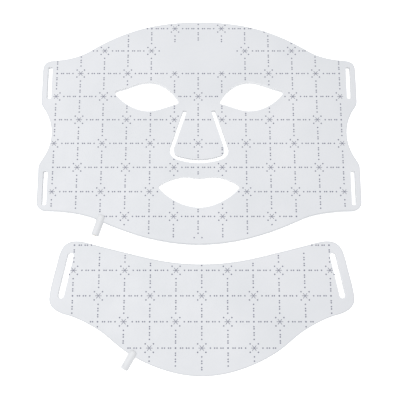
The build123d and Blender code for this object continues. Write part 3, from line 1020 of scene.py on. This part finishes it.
def scatter(panel, marks, add, kind, layer, finishes, slot=None):
    """Puts small closed shapes on the piece of sheet that each one's place belongs to."""
    in_flap = [False] * len(marks)
    if panel["flap_zone"]:
        zoned = inside([place for place, _ in marks], [panel["flap_zone"]])
        in_flap = [bool(z and place[1] < FLAP_CUT_Y) for z, (place, _) in zip(zoned, marks)]
    rows = [(f"{name}_{kind}", low, high, used) for name, (low, high), used in spans(panel["name"])]
    if any(in_flap):
        rows.append((f"nose_flap_{kind}", -FAR, FAR, None))
    for name, low, high, used in rows:
        solid = Solid()
        for (place, shape), flapped in zip(marks, in_flap):
            if flapped == (used is None) and low <= place[0] + panel["shift"] < high:
                add(solid, shape)
        piece = new_piece(solid.bmesh(panel["shift"]), name, finishes, slot)
        if used is None:
            lift(piece)
        else:
            bend(piece, used)
        if layer and used is None:
            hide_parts(f"nose_flap_{layer}")
        elif layer:
            stands_for(used, layer)


def tail_pieces(panel):
    """The tail's sleeve, jack, contacts and wires, and the resistors, each going with a piece of its sheet.
    """
    name, tail = panel["name"], panel["tail"]
    by_name = {span: used for span, _, used in spans(name)}
    edge_bend = by_name[f"{name}_left_edge"]
    rows = (
        (add_sleeve, "tail_sleeve", "tail_moulding", [TAIL], "silicone"),
        (add_jack, "jack_body", "jack_moulding", [JACK], "jack_plastic"),
        (add_contacts, "jack_contacts", "jack_plating", [PLATING], "contact_metal"),
        (add_wires, "jack_wires", "jack_leads", [JACKET, PLATING], "wire_jacket"),
    )
    for add, node, kind, finishes, slot in rows:
        solid = Solid()
        add(solid, tail)
        piece = new_piece(solid.bmesh(panel["shift"]), f"{name}_{kind}", finishes, slot)
        bend(piece, edge_bend)
        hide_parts(f"{name}_{node}")
    solid = Solid()
    x, y = panel["chips_at"]
    for i in range(CHIP_COUNT):
        add_chip(solid, x, y + 2 * CHIP_SIZE[1] * (i - (CHIP_COUNT - 1) / 2))
    piece = new_piece(solid.bmesh(panel["shift"]), f"{name}_chips", [CHIP, PLATING], "chip_body")
    bend(piece, next(used for _, (low, high), used in spans(name) if low <= x + panel["shift"] < high))
    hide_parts(f"{name}_resistors")


def describe(name, rings_of, low_y, **details):
    """What the other functions need to know of a panel, whose lower edge lies below a height."""
    fine = rings_of(FINE_STEP)
    low_edge = [point for point in fine[0] if point[1] < low_y]
    top_edge = [point for point in fine[0] if point[1] >= low_y]
    near_edges = (distance_to([top_edge, *fine[1], *fine[2]]), distance_to([low_edge]))
    return {"name": name, "rings": rings_of(STEP), "fine": fine, "near_edges": near_edges, **details}


def build(panel):
    """Every piece of a panel."""
    rings, fine, tab_lines, grid = panel["rings"], panel["fine"], panel["tab_lines"], panel["grid"]
    lights = light_places(grid, fine, tab_lines)
    openings = film_openings(grid, fine, tab_lines)
    lay_sheet(panel, shell_solid(rings, tab_lines), "front", "shell", [FRONT], "silicone")
    cover = cover_solid(rings, fine, tab_lines, lights)
    lay_sheet(panel, cover, "back", "cover", [BACK, WINDOW], "skin_silicone")
    lay_sheet(panel, film_solid(rings, tab_lines, openings), "film", "circuit", [FILM], "flex_circuit")
    lamps = [(place, place) for place in lights]
    scatter(panel, lamps, add_light, "lamps", "lights", [CERAMIC, PHOSPHOR], "light_package")
    marks = list(print_marks(panel))
    scatter(panel, marks, lambda solid, ring: solid.prism(ring, INK_LOW, INK_HIGH), "print", None, [INK])
    tail_pieces(panel)


face = describe(
    "face",
    face_rings,
    low_y=-60.0,
    grid=FACE_GRID,
    tab_lines=face_tab_lines(),
    shift=0.0,
    print_x=FACE_PRINT_X,
    ink_half_w=FACE_INK_HALF_W,
    low_clear=FACE_LOW_CLEAR,
    lone_dots=True,
    tail=FACE_TAIL,
    chips_at=FACE_CHIPS_AT,
    flap_zone=grown(both_halves(FLAP_OUTLINE, STEP), SLIT_W / 2),
)
neck = describe(
    "neck",
    neck_rings,
    low_y=-190.0,
    grid=NECK_GRID,
    tab_lines=neck_tab_lines(),
    shift=NECK_SHIFT_X,
    print_x=0.0,
    ink_half_w=NECK_INK_HALF_W,
    low_clear=NECK_LOW_CLEAR,
    lone_dots=False,
    tail=NECK_TAIL,
    chips_at=NECK_CHIPS_AT,
    flap_zone=None,
)
build(face)
build(neck)


# ---- studio --------------------------------------------------------------------------------------
def floor_finish():
    """A plain white table that glows a little, as a light table does."""
    finish = Finish("white_table", Roughness=0.9)
    texture = finish.node("ShaderNodeTexCoord")
    finish.place = texture.outputs["Object"]
    finish.colour(finish.mix(finish.noise(300), (0.90, 0.90, 0.90), (0.93, 0.93, 0.93)))
    finish.surface.inputs["Emission Color"].default_value = (1, 1, 1, 1)
    finish.surface.inputs["Emission Strength"].default_value = FLOOR_GLOW
    return finish.material


def lamp(name, place, aim, size, power):
    """A soft square studio light."""
    data = bpy.data.lights.new(name, "AREA")
    data.size = size
    data.energy = power
    light = bpy.data.objects.new(name, data)
    light.location = place
    light.rotation_euler = (Vector(aim) - Vector(place)).to_track_quat("-Z", "Y").to_euler()
    bpy.context.scene.collection.objects.link(light)


def studio():
    """Floor, sky, a soft light above and to the left, and the camera above the panels."""
    mesh = bpy.data.meshes.new("floor")
    signs = ((-1, -1), (1, -1), (1, 1), (-1, 1))
    corners = [(x * FLOOR_HALF, y * FLOOR_HALF, FLOOR_Z) for x, y in signs]
    mesh.from_pydata(corners, [], [(0, 1, 2, 3)])
    mesh.materials.append(floor_finish())
    floor = bpy.data.objects.new("floor", mesh)
    bpy.context.scene.collection.objects.link(floor)
    world = bpy.data.worlds.new("studio")
    bpy.context.scene.world = world
    world.use_nodes = True
    background = world.node_tree.nodes["Background"]
    background.inputs["Color"].default_value = (1, 1, 1, 1)
    background.inputs["Strength"].default_value = SKY_LIGHT
    lamp("key", KEY_PLACE, KEY_AIM, KEY_SIZE, KEY_POWER)
    camera = bpy.data.objects.new("camera", bpy.data.cameras.new("camera"))
    camera.data.lens = CAMERA_LENS
    camera.data.sensor_width = 36
    camera.location = CAMERA_PLACE
    camera.rotation_euler = (CAMERA_TILT, 0, 0)
    bpy.context.scene.collection.objects.link(camera)
    bpy.context.scene.camera = camera
    bpy.context.scene.view_settings.view_transform = "Standard"


studio()
